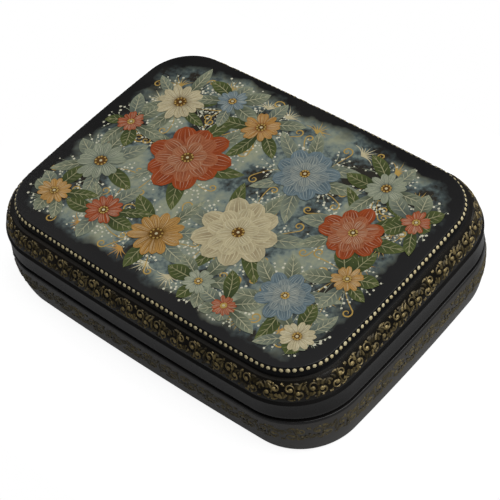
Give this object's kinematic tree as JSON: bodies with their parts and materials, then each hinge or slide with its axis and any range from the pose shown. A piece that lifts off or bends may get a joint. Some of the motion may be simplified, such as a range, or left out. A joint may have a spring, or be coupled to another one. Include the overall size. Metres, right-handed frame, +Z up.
{
  "type": "lacquer box",
  "caption": "Small rectangular papier-mache box with rounded corners, a stepped hinged lid with a raised pillowed panel, a locating collar and a wire-pinned back hinge.",
  "frame": {"origin": "centre of the flat underside", "axes": "+X along the long side, -Y towards the opening side, +Y towards the hinge, +Z up"},
  "size_m": [0.1002, 0.0745, 0.0264],
  "materials": {
    "black_lacquer": "gloss",
    "red_lacquer": "gloss",
    "hinge_brass": "satin",
    "pin_steel": "satin"
  },
  "bodies": {
    "base": {"base_wall": "black_lacquer", "base_bottom": "red_lacquer", "inner_collar": "red_lacquer", "base_knuckle_left": "hinge_brass", "base_knuckle_middle": "hinge_brass", "base_knuckle_right": "hinge_brass", "hinge_pin": "pin_steel"},
    "lid": {"lid_wall": "black_lacquer", "lid_moulding": "black_lacquer", "lid_panel": "black_lacquer", "lid_knuckle_left": "hinge_brass", "lid_knuckle_right": "hinge_brass"}
  },
  "joints": [
    {"name": "lid_hinge", "type": "hinge", "parent": "base", "child": "lid", "pos_m": [0, 0.0364, 0.013], "axis": [-1, 0, 0], "range_deg": [0, 100]}
  ]
}
